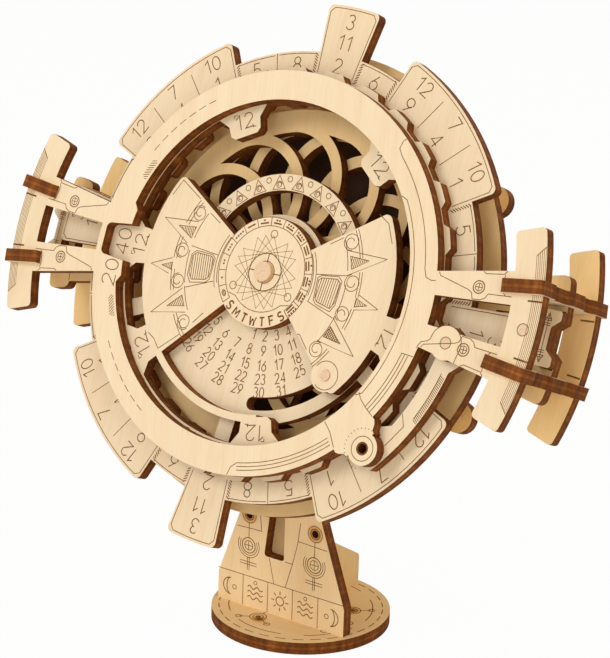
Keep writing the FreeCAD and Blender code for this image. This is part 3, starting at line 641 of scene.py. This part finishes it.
ARM_LINES = [
    [(62.4, 10.2), (62.9, 9.2), (72.3, 6.2), (73.5, 5.6), (74.0, 4.2)],
    [(76.6, 10.3), (77.4, 9.8), (83.2, 9.7), (84.2, 10.3)],
    [(74.0, 4.2), (76.6, 4.2), (78.0, 4.7), (78.8, 5.6), (86.2, 5.5)],
    [(83.6, 9.6), (83.2, 8.6), (83.4, 6.2), (84.2, 5.5)],
]
BAR_STRIPES = 6


def engrave_arms(marks):
    for half_turn in (0, 180):
        for mirror in (1, -1):
            for points in ARM_LINES:
                polar_line(marks, points, FINE, mirror, half_turn)
            crossed_ring(marks, polar(75.6, mirror * 6.9 + half_turn), 1.8)
            polar_line(marks, [(91.4, 5.1), (95.9, 5.1)], HEAVY, mirror, half_turn)
            polar_line(marks, [(92.8, 13.0), (95.8, 14.4)], FINE, mirror, half_turn)


def engrave_bars(marks):
    """Fine stripes along the outer edge of each front bar."""
    for half_turn in (0, 180):
        for step in range(BAR_STRIPES):
            reach = 13.0 + 0.28 * step
            marks.sweep(92.8 + step * 0.56, half_turn - reach, half_turn + reach, HAIR)


def engrave_front_frame():
    marks = Engraving("marks_front_frame", dial_plane("front_frame"), "stand")
    marks.sweep(57.6, 11, 46, FINE)
    polar_line(marks, [(57.6, 11), (58.2, 8.6), (60.0, 7.8), (61.5, 7.8)], FINE)
    polar_line(marks, [(57.6, 46), (58.2, 48.6), (60.4, 49.6), (61.5, 49.4)], FINE)
    marks.sweep(53.9, -31, 33, FINE)
    polar_line(marks, [(53.9, 33), (52.7, 35)], FINE)
    polar_line(marks, [(53.9, -31), (52.7, -33)], FINE)
    for radius in (57.6, 58.7, 59.8):
        marks.sweep(radius, -33, -14, FINE)
        marks.sweep(radius, -80, -48, FINE)
    polar_line(marks, [(57.6, -80), (59.0, -82), (61.4, -83)], FINE)
    polar_line(marks, [(57.6, -14), (61.4, -13.4)], FINE)
    for start, end in ((122, 148), (213, 238)):
        for step in range(start, end, 4):
            marks.sweep(57.2, step, step + 2.6, FINE)
    for start, end in ((150, 158), (198, 206)):
        patch = [polar(53.4, start), polar(55.3, start + 1), polar(55.3, end - 1), polar(53.4, end)]
        hatch(marks, patch, start + 40, 0.7)
    marks.text("20", polar(55.0, 190.6), 5.0, 180, LINE, 1.15)
    engrave_eyelet(marks)
    engrave_cap(marks)
    engrave_arms(marks)
    engrave_bars(marks)
    marks.build(ENGRAVED)


def engrave_eyelet(marks):
    centre = polar(66.65, -40.3)
    marks.ring(3.6, centre, FINE)
    marks.ring(1.72, centre, HEAVY)
    marks.stroke([(45.2, -27.6), (46.3, -29.5), (48.8, -31.6), (51.4, -33.5)], FINE)
    marks.stroke([(36.4, -38.4), (39.0, -41.0), (41.4, -44.9)], FINE)
    for step in range(18):
        marks.dot(shifted([polar(5.9, 60 + step * 12)], centre)[0], 0.16)


def engrave_cap(marks):
    """Seams of the round cap on the lower right arm, and the rim of each dowel."""
    centre = polar(69.45, -6.9)
    left = [(60.2, -11.4), (60.5, -10.5), (61.2, -9.5), (63.2, -8.8), (64.0, -8.0)]
    right = [(74.0, -8.6), (73.9, -9.6), (73.4, -11.4), (73.0, -13.4)]
    marks.stroke(left + arc(5.05, 172, 4, centre) + right, FINE)
    marks.ring(1.72, centre, FINE)
    marks.ring(1.72, (91.7, 0.0), FINE)


def engrave_bracket():
    marks = Engraving("marks_bracket", dial_plane("window_bracket"), "stand")
    strip = [(69.9, -14.0), (71.5, -14.6), (71.5, -27.4), (69.9, -26.6)]
    steps = 26
    for index in range(steps):
        angle = -14.6 - 12.2 * index / (steps - 1)
        marks.stroke([polar(69.9, angle), polar(71.5, angle - 0.3)], FINE)
    polar_line(marks, strip[:1] + [(69.9, angle) for angle in range(-15, -27, -1)] + strip[3:], FINE)
    marks.stroke([(58.7, -30.7), (60.0, -34.2), (55.5, -40.8)], FINE)
    marks.build(ENGRAVED)


def engrave_rear_layers():
    """Slits and seams on the middle and rear bars and the arrows of the small plates."""
    for node, slit_end in (("mid_bar_right", 94.3), ("rear_bar_right", 95.7)):
        marks = Engraving("marks_" + node[:-6], dial_plane(node), "stand")
        for half_turn in (0, 180):
            for mirror in (1, -1):
                polar_line(marks, [(slit_end - 4.4, 5.1), (slit_end, 5.1)], HEAVY, mirror, half_turn)
                polar_line(marks, [(86.5, 4.2), (86.5, 10.2)], FINE, mirror, half_turn)
                polar_line(marks, [(73.5, 6.9), (86.2, 6.3)], FINE, mirror, half_turn)
        marks.build(ENGRAVED)
    marks = Engraving("marks_arrow_plates", dial_plane("arrow_plate_right"), "stand")
    for sign in (1, -1):
        reach = sign * 91.0
        marks.stroke([(reach, -6.6), (reach, 6.6)], FINE)
        for end in (1, -1):
            tip = (reach, end * 7.1)
            head = [tip, (reach - 1.0, end * 5.0), (reach + 1.0, end * 5.0)]
            marks.stroke(head, FINE, closed=True)
            for level in (5.6, 4.2, 3.6):
                half = 1.0 if level > 5 else 0.9
                marks.stroke([(reach - half, end * level), (reach + half, end * level)], FINE)
    marks.build(ENGRAVED)


# Month wheel

MONTHS = {0: ("3", "11", "2"), 1: ("6",), 2: ("12", "9"), 3: ("7", "4"), 4: ("10", "1"), 5: ("5",), 6: ("8",)}
DATE_COLUMNS = [(5, 12, 19, 26), (6, 13, 20, 27), (7, 14, 21, 28), (1, 8, 15, 22, 29),
                (2, 9, 16, 23, 30), (3, 10, 17, 24, 31), (4, 11, 18, 25)]
DATE_ROWS = (18.4, 23.0, 27.5, 31.6, 35.6)


def inset_border(marks, inner, outer, start, end, corner=1.4):
    """A fine line just inside a raised part of the month ring, open towards the hub."""
    turn = math.degrees(corner / outer)
    points = [polar(inner, start)]
    points += [polar(outer - corner, start)] + arc(outer, start + turn, end - turn)
    points += [polar(outer - corner, end), polar(inner, end)]
    marks.stroke(points, FINE)


def slant_marks(marks, angle, side):
    """A radial row of short slanted strokes beside a raised part."""
    for step in range(8):
        radius = 62.2 + step * 0.85
        shift = side * 1.15
        marks.stroke([polar(radius, angle + side * 0.25), polar(radius + 0.8, angle + shift)], LINE)


def engrave_months(marks):
    for division in range(28):
        angle = 90 - division * DIVISION
        place = division % 7
        words = MONTHS[place]
        radii = {3: (79.7, 73.2, 65.9), 2: (73.1, 66.0), 1: (65.3,)}[len(words)]
        for word, radius in zip(words, radii):
            marks.polar_text(word, radius, angle, 4.5, LINE, 1.08)
        half = DIVISION / 2
        edge = angle - half
        if place == 0:
            inset_border(marks, 63.0, 83.5, edge + 0.55, angle + half - 0.55)
        if place == 3:
            inset_border(marks, 63.0, 76.6, edge - DIVISION + 0.6, angle + half + DIVISION - 0.6)
        if place in (2, 3):
            marks.ray(edge, 63.2, 74.3, FINE)
        if place == 5:
            marks.ray(edge, 61.6, 69.3, FINE)
        if place in (1, 5, 6):
            marks.sweep(68.7, edge + 0.6, angle + half - 0.6, FINE)
        if place in (1, 5):
            slant_marks(marks, angle + half, -1)
        if place in (1, 6):
            slant_marks(marks, edge, 1)


def engrave_band(marks):
    """Triangles with a scroll in each and small rings between them."""
    for index in range(-3, 5):
        angle = 90.75 + 15 * index
        half = math.degrees(2.2 / 26.4)
        marks.stroke([polar(26.5, angle - half), polar(30.7, angle), polar(26.5, angle + half)], FINE, True)
        spiral(marks, polar(27.9, angle), 0.95, angle - 90, 1, FINE)
        if index < 4:
            marks.ring(0.85, polar(29.5, angle + 7.5), FINE)


def engrave_month_wheel():
    marks = Engraving("marks_month_ring", dial_plane("month_wheel", MONTH_REST, AXLE), "month")
    engrave_months(marks)
    engrave_band(marks)
    marks.build(ENGRAVED)
    marks = Engraving("marks_dates", dial_plane("month_wheel", MONTH_REST), "month")
    for index, column in enumerate(DATE_COLUMNS):
        angle = -90 + (index - 3) * DIVISION
        first = 0 if index in (3, 4, 5, 6) else 1
        for row, number in enumerate(column):
            marks.polar_text(str(number), DATE_ROWS[row + first], angle, 3.1, DATE_LINE, 0.86, up=180)
    marks.build(ENGRAVED)


# Year wheel

BAR_HALF = 1.45
BAR_RISE = 0.24
SQUARE = [(-1, -1), (1, -1), (1, 1), (-1, 1)]


def numeral(marks, number, radius, angle):
    """A traditional dot-and-bar numeral from 0 to 14, its top facing outward."""
    out = polar(1, angle)

    def place(across, up):
        level = radius + up
        return (out[0] * level + out[1] * across, out[1] * level - out[0] * across)

    if number == 0:
        oval = [place(*point) for point in bend((0, 0), (0.95, 0.6), 0, 330, 11)]
        marks.stroke(oval, LINE, closed=True)
        marks.stroke([place(-0.6, 0), place(0.6, 0)], LINE)
        return
    bars, dots = divmod(number, 5)
    rows = bars + (1 if dots else 0)
    level = -0.45 * (rows - 1)
    for _ in range(bars):
        marks.fill([place(x * BAR_HALF, level + y * BAR_RISE) for x, y in SQUARE])
        level += 0.9
    for index in range(dots):
        marks.dot(place((index - (dots - 1) / 2) * 0.95, level), 0.33)


def engrave_week_dial(marks):
    stars = [(90, 60), (105, 45), (120, 30)]
    for first, second in stars:
        for base in (first, second):
            tips = [polar(11.3, base + 120 * corner) for corner in range(3)]
            marks.stroke(tips, HAIR, closed=True)
    for angle in (90, -30, -150):
        marks.ring(1.2, polar(11.8, angle), FINE)
    marks.ring(5.8, width=FINE)
    marks.ring(3.4, width=FINE)
    for angle in (0, 90, 180, 270):
        marks.ray(angle, 3.1, 5.8, LINE)
    start, end = -35.6 + 17.94 / 2, 360 - 145.6 - 17.94 / 2
    marks.sweep(14.2, start - 18, end + 18, FINE)
    marks.sweep(16.9, start - 18, end + 18, FINE)
    for index in range(15):
        middle = -145.6 - 17.94 * index
        marks.ray(middle + 8.97, 14.2, 16.9, FINE)
        numeral(marks, index, 15.55, middle)
    marks.ray(-35.6 - 8.97, 14.2, 16.9, FINE)
    for index, letter in enumerate("SMTWTFS"):
        marks.polar_text(letter, 15.2, -90 + (index - 3) * DIVISION, 2.7, HEAVY, 1.12, up=180)
    rim = arc(12.2, -134, -46)
    marks.stroke([(-11.2, -8.2), (-9.6, -8.6)] + rim + [(9.6, -8.6), (11.2, -8.2)], FINE)


# Wing art in (across, up) of the dial: scroll centres and radii, ray tips with their feet,
# hatched triangles and plain lines

RIGHT_SCROLLS = [(27.5, 14.5, 2.5), (31.0, 2.8, 2.5), (30.3, -6.8, 2.3), (24.5, -18.5, 2.3)]
LEFT_SCROLLS = [(-28.9, 13.9, 2.3), (-32.1, 1.5, 2.3), (-31.0, -7.9, 2.3), (-24.9, -20.0, 2.3)]
RIGHT_RAYS = [
    [(27.0, 11.9), (40.9, 11.7), (28.5, 4.5)],
    [(34.5, -0.2), (42.0, -3.2), (33.8, -4.8)],
    [(27.6, -8.3), (37.7, -18.1), (24.0, -15.9)],
]
LEFT_RAYS = [
    [(-28.6, 11.2), (-41.6, 10.4), (-31.0, 4.0)],
    [(-35.0, -1.4), (-42.6, -4.5), (-35.0, -6.4)],
    [(-28.4, -9.8), (-38.1, -19.3), (-25.2, -16.9)],
]
RIGHT_HATCHES = [
    [(28.4, 10.4), (35.0, 10.2), (29.8, 6.7)],
    [(33.8, -1.3), (33.8, -3.9), (38.0, -2.8)],
    [(27.5, -11.0), (25.9, -14.4), (32.3, -15.4)],
]
LEFT_HATCHES = [
    [(-35.6, 8.9), (-29.0, 9.4), (-29.9, 5.8)],
    [(-38.4, -4.2), (-34.6, -2.8), (-34.4, -5.0)],
    [(-28.0, -12.0), (-32.6, -16.3), (-26.2, -15.1)],
]
WING_LINES = [
    [(18.1, 3.1), (28.4, 4.5)], [(17.2, -5.2), (27.4, -8.5)],
    [(20.4, 12.7), (24.6, 15.4)], [(16.8, -15.5), (17.6, -15.4), (21.3, -19.3)],
    [(-29.0, 3.5), (-18.4, 2.4)], [(-17.8, -5.7), (-27.5, -9.4)],
    [(-40.9, 17.8), (-38.2, 22.9), (-30.0, 18.2)], [(-25.1, 14.6), (-20.5, 12.1)],
    [(-18.5, -15.8), (-21.5, -19.5)], [(-37.0, -25.6), (-34.4, -27.0), (-31.9, -29.7), (-25.3, -23.9)],
    [(34.6, 24.2), (38.4, 22.0), (41.2, 16.4)],
]
PANELS = [
    [(19.0, 2.2), (20.2, 3.1), (26.2, 3.8), (27.6, 2.6),
     (27.2, -4.6), (25.8, -6.9), (20.4, -5.6), (19.3, -4.4)],
    [(-19.1, 1.2), (-20.4, 2.2), (-26.6, 2.4), (-28.1, 1.0),
     (-27.9, -5.4), (-26.4, -7.6), (-20.6, -6.6), (-19.4, -5.4)],
]


def engrave_wings(marks):
    for side, scrolls in ((1, RIGHT_SCROLLS), (-1, LEFT_SCROLLS)):
        for index, (x, y, radius) in enumerate(scrolls):
            outward = math.degrees(math.atan2(y, x))
            turn = outward + (100 if index % 2 else -100)
            spiral(marks, (x, y), radius, turn, side if index % 2 else -side)
    for corners in RIGHT_RAYS + LEFT_RAYS:
        marks.stroke(corners, FINE)
    for corners, angle in zip(RIGHT_HATCHES + LEFT_HATCHES, (88, 88, 45, 92, 90, 130)):
        marks.stroke(corners, FINE, closed=True)
        hatch(marks, corners, angle, 0.62)
    hatch(marks, RIGHT_HATCHES[2], -45, 0.62)
    for points in WING_LINES:
        marks.stroke(points, FINE)
    for panel in PANELS:
        marks.stroke(panel, FINE, closed=True)
        inner = [(x * 0.9 + (2.35 if x > 0 else -2.35), y * 0.84 - 0.2) for x, y in panel]
        marks.stroke(inner, FINE, closed=True)
        hatch(marks, inner, 84 if panel[0][0] > 0 else 97, 0.82, FINE)
    for start, end in ((12, 31), (-13, 4), (-33, -15)):
        marks.sweep(29.2, start, end, FINE)
    for start, end in ((18, 33), (-2, 11), (-19, -8), (-44, -32)):
        marks.sweep(33.4, start, end, FINE)
        marks.sweep(34.3, start, end, FINE)
    for start, end in ((151, 168), (176, 196), (198, 213)):
        marks.sweep(29.3, start, end, FINE)
    for start, end in ((149, 163), (170, 182), (188, 199), (212, 226)):
        marks.sweep(33.5, start, end, FINE)
        marks.sweep(34.6, start, end, FINE)
    marks.sweep(17.4, -12, 30, FINE)
    marks.sweep(18.4, -16, 31, FINE)
    marks.sweep(17.4, 150, 200, FINE)
    marks.sweep(18.4, 150, 204, FINE)
    marks.stroke(arc(4.3, -130, 150, polar(39.2, -40.3)), FINE)


def engrave_year_wheel():
    marks = Engraving("marks_year_wheel", dial_plane("year_wheel", 0.0, AXLE), "year")
    engrave_week_dial(marks)
    for tab in range(6):
        angle = 180 - tab * 5 * DIVISION
        marks.polar_text("12", 48.6, angle, 4.6, LINE, 1.2)
        x, y = polar(48.6, angle)
        side = polar(1, angle - 90)
        out = polar(1, angle)
        for end, rise in ((-3.1, 1.7), (3.0, -1.7)):
            tip = rise + math.copysign(0.9, rise)
            hook = []
            for a, b in ((end - 0.2, rise), (end - 0.2, tip), (end + 0.9, tip)):
                hook.append((x + side[0] * a + out[0] * b, y + side[1] * a + out[1] * b))
            marks.stroke(hook, FINE)
    for index in range(28):
        marks.polar_text(str(40 - index), 55.4, 180 - index * DIVISION, 5.0, LINE, 1.15)
    marks.build(ENGRAVED)
    marks = Engraving("marks_wings", dial_plane("year_wheel"), "year")
    engrave_wings(marks)
    marks.build(ENGRAVED)


# Stand


def engrave_panel():
    level = min(vertex.co.y for vertex in NODES["stand_panel"].data.vertices)
    plane = Plane((0.0, level, 4 * MM), (1, 0, 0), (0, 0, 1))
    marks = Engraving("marks_panel", plane, "stand")
    for side in (-1, 1):
        hole = (side * 12.9, 31.7)
        for radius in (1.75, 2.7):
            marks.ring(radius, hole, FINE)
        marks.stroke([(hole[0], 29.0), (hole[0], 23.6)], FINE)
        crossed_ring(marks, (hole[0], 21.2), 2.6)
        for radius in (3.4, 4.2):
            marks.stroke(bend((hole[0], 21.2), (radius, radius), 150, 390, 16), FINE)
        for level in (14.6, 15.5):
            marks.stroke([(hole[0] - 3.3, level), (hole[0] + 3.3, level)], FINE)
        for shift in (-0.35, 0.35):
            marks.stroke([(hole[0] + shift, 17.2), (hole[0] + shift, 12.6)], FINE)
    marks.stroke([(-24.8, 10.6), (24.8, 10.6)], FINE)
    for across in (-14.8, -4.9, 4.9, 14.8):
        marks.stroke([(across, 0.2), (across, 10.6)], FINE)
    marks.stroke([(-4.6, 19.1), (-2.6, 10.8)], FINE)
    marks.stroke([(1.6, 19.3), (4.5, 19.3), (6.3, 26.7), (7.2, 34.0)], FINE)
    marks.stroke([(4.5, 19.3), (2.0, 10.8)], FINE)
    marks.stroke([(-17.6, 27.0), (-7.6, 27.4)], FINE)
    marks.stroke([(6.6, 27.6), (17.6, 27.2)], FINE)
    marks.stroke([(-8.0, 27.6), (-8.6, 34.0)], FINE)
    for index, centre in enumerate((-19.8, -9.9, 0.0, 9.9, 19.8)):
        foot_sign(marks, centre, index)
    marks.build(ENGRAVED)


def foot_sign(marks, centre, index):
    """Plain signs for the five foot cells: crescents, waves, rings and a sun."""
    middle = (centre, 5.3)
    if index in (0, 4):
        sense = 1 if index == 0 else -1
        marks.stroke(bend(middle, (2.9, 2.9), 90, 90 + sense * 180), LINE)
        marks.stroke(bend(middle, (1.5, 2.9), 90, 90 + sense * 180), LINE)
        marks.ring(0.75, (centre + sense * 1.6, 5.3), FINE)
    elif index in (1, 3):
        for level in (3.4, 5.2, 7.0):
            wave = []
            for step in range(13):
                wave.append((centre - 3.0 + step * 0.5, level + 0.55 * math.sin(step * math.pi / 3)))
            marks.stroke(wave, LINE)
        marks.ring(0.6, (centre, 8.9), FINE)
    else:
        marks.ring(1.5, middle, LINE)
        for step in range(8):
            turn = step * 45
            marks.stroke(shifted([polar(2.2, turn), polar(3.4, turn)], middle), LINE)


def engrave_base():
    plane = Plane((0.0, 0.0, 4 * MM), (1, 0, 0), (0, 1, 0))
    marks = Engraving("marks_base", plane, "stand")
    for step in range(0, 360, 12):
        marks.sweep(26.6, step, step + 7.5, LINE)
    for start in range(0, 360, 60):
        marks.sweep(23.4, start + 8, start + 50, BASE_LINE)
    spots = [polar(17.0, angle) for angle in (-108, -20, 25, 100, 180)]
    for centre in spots:
        marks.dot(centre, 0.9)
        for radius in (1.7, 2.7):
            marks.ring(radius, centre, BASE_LINE)
        for turn in (20, 140, 260):
            end = shifted([polar(6.2, turn + centre[0] * 9)], centre)[0]
            start = shifted([polar(2.7, turn + centre[0] * 9)], centre)[0]
            if math.hypot(*end) < 25.5:
                marks.stroke([start, end], BASE_LINE)
                marks.ring(0.95, end, LINE)
    marks.build(ENGRAVED)


engrave_front_frame()
engrave_bracket()
engrave_rear_layers()
engrave_month_wheel()
engrave_year_wheel()
engrave_panel()
engrave_base()

# Floor, world and lights


def make_floor():
    mesh = bpy.data.meshes.new("studio_floor")
    half = 4.0
    corners = [(-half, -half, 0), (half, -half, 0), (half, half, 0), (-half, half, 0)]
    mesh.from_pydata(corners, [], [(0, 1, 2, 3)])
    floor = bpy.data.objects.new("studio_floor", mesh)
    bpy.context.scene.collection.objects.link(floor)
    material = bpy.data.materials.new("pale_floor")
    material.use_nodes = True
    tree = material.node_tree
    shader = tree.nodes["Principled BSDF"]
    shader.inputs["Base Color"].default_value = (0.9, 0.9, 0.9, 1.0)
    shader.inputs["Roughness"].default_value = 0.9
    shader.inputs["Specular IOR Level"].default_value = 0.0
    output = tree.nodes["Material Output"]
    white = tree.nodes.new("ShaderNodeEmission")
    path = tree.nodes.new("ShaderNodeLightPath")
    share = tree.nodes.new("ShaderNodeMath")
    share.operation = "MULTIPLY"
    share.inputs[1].default_value = 0.97
    mixer = tree.nodes.new("ShaderNodeMixShader")
    tree.links.new(path.outputs["Is Camera Ray"], share.inputs[0])
    tree.links.new(share.outputs[0], mixer.inputs["Fac"])
    tree.links.new(shader.outputs[0], mixer.inputs[1])
    tree.links.new(white.outputs[0], mixer.inputs[2])
    tree.links.new(mixer.outputs[0], output.inputs["Surface"])
    mesh.materials.append(material)


def make_world():
    world = bpy.data.worlds.new("studio_world")
    bpy.context.scene.world = world
    world.use_nodes = True
    tree = world.node_tree
    background = tree.nodes["Background"]
    path = tree.nodes.new("ShaderNodeLightPath")
    seen = tree.nodes.new("ShaderNodeMath")
    seen.operation = "MAXIMUM"
    tree.links.new(path.outputs["Is Camera Ray"], seen.inputs[0])
    tree.links.new(path.outputs["Is Glossy Ray"], seen.inputs[1])
    both = tree.nodes.new("ShaderNodeMath")
    both.operation = "MAXIMUM"
    tree.links.new(seen.outputs[0], both.inputs[0])
    tree.links.new(path.outputs["Is Transmission Ray"], both.inputs[1])
    tone = tree.nodes.new("ShaderNodeMix")
    tone.data_type = "RGBA"
    tone.inputs["A"].default_value = (*WORLD_TONE, 1.0)
    tone.inputs["B"].default_value = (*WHITE, 1.0)
    tree.links.new(both.outputs[0], tone.inputs["Factor"])
    tree.links.new(tone.outputs["Result"], background.inputs["Color"])
    strength = tree.nodes.new("ShaderNodeMapRange")
    strength.inputs["To Min"].default_value = WORLD_LEVEL
    strength.inputs["To Max"].default_value = 1.0
    tree.links.new(both.outputs[0], strength.inputs["Value"])
    tree.links.new(strength.outputs[0], background.inputs["Strength"])


def add_lamp(name, place, target, power, size):
    data = bpy.data.lights.new(name, "AREA")
    data.energy = power
    data.shape = "DISK"
    data.size = size
    data.color = (1.0, 0.99, 0.99)
    lamp = bpy.data.objects.new(name, data)
    lamp.location = place
    aim = Vector(target) - Vector(place)
    lamp.rotation_euler = aim.to_track_quat("-Z", "Y").to_euler()
    bpy.context.scene.collection.objects.link(lamp)


WORLD_LEVEL = 0.46
WORLD_TONE = (1.0, 0.83, 0.57)
CENTRE = (0.0, -0.02, 0.1)
make_floor()
make_world()
add_lamp("key_lamp", (-0.45, -1.0, 0.9), CENTRE, 5.9, 0.6)
add_lamp("fill_lamp", (1.2, -0.7, 0.5), CENTRE, 3.2, 0.9)
add_lamp("top_lamp", (0.1, 0.1, 1.3), CENTRE, 3.4, 0.8)
add_lamp("low_lamp", (0.25, -1.2, 0.16), (0.0, -0.02, 0.03), 2.2, 0.5)

# Camera, fitted to the photograph

UNIT = 0.88
CAMERA_AZIMUTH = 36.437
CAMERA_ELEVATION = 15.273
CAMERA_DISTANCE = 742.263 * UNIT * MM
CAMERA_YAW = -1.309
CAMERA_PITCH = -1.491
CAMERA_ROLL = 1.498
CAMERA_FOCAL_PIXELS = 2183.658
IMAGE_WIDTH = 610
SENSOR = 36.0


def make_camera():
    azimuth = math.radians(CAMERA_AZIMUTH)
    elevation = math.radians(CAMERA_ELEVATION)
    back = Vector((
        math.sin(azimuth) * math.cos(elevation),
        -math.cos(azimuth) * math.cos(elevation),
        math.sin(elevation),
    ))
    side = Vector((math.cos(azimuth), math.sin(azimuth), 0))
    rise = back.cross(side)
    turn = Matrix((side, rise, back)).transposed()
    turn = turn @ Matrix.Rotation(math.radians(CAMERA_YAW), 3, "Y")
    turn = turn @ Matrix.Rotation(math.radians(CAMERA_PITCH), 3, "X")
    turn = turn @ Matrix.Rotation(math.radians(CAMERA_ROLL), 3, "Z")
    data = bpy.data.cameras.new("photo_camera")
    data.sensor_fit = "HORIZONTAL"
    data.sensor_width = SENSOR
    data.lens = CAMERA_FOCAL_PIXELS * SENSOR / IMAGE_WIDTH
    data.clip_start = 0.01
    camera = bpy.data.objects.new("photo_camera", data)
    camera.matrix_world = Matrix.Translation(HUB + back * CAMERA_DISTANCE) @ turn.to_4x4()
    bpy.context.scene.collection.objects.link(camera)
    bpy.context.scene.camera = camera


make_camera()
bpy.context.scene.view_settings.view_transform = "Standard"
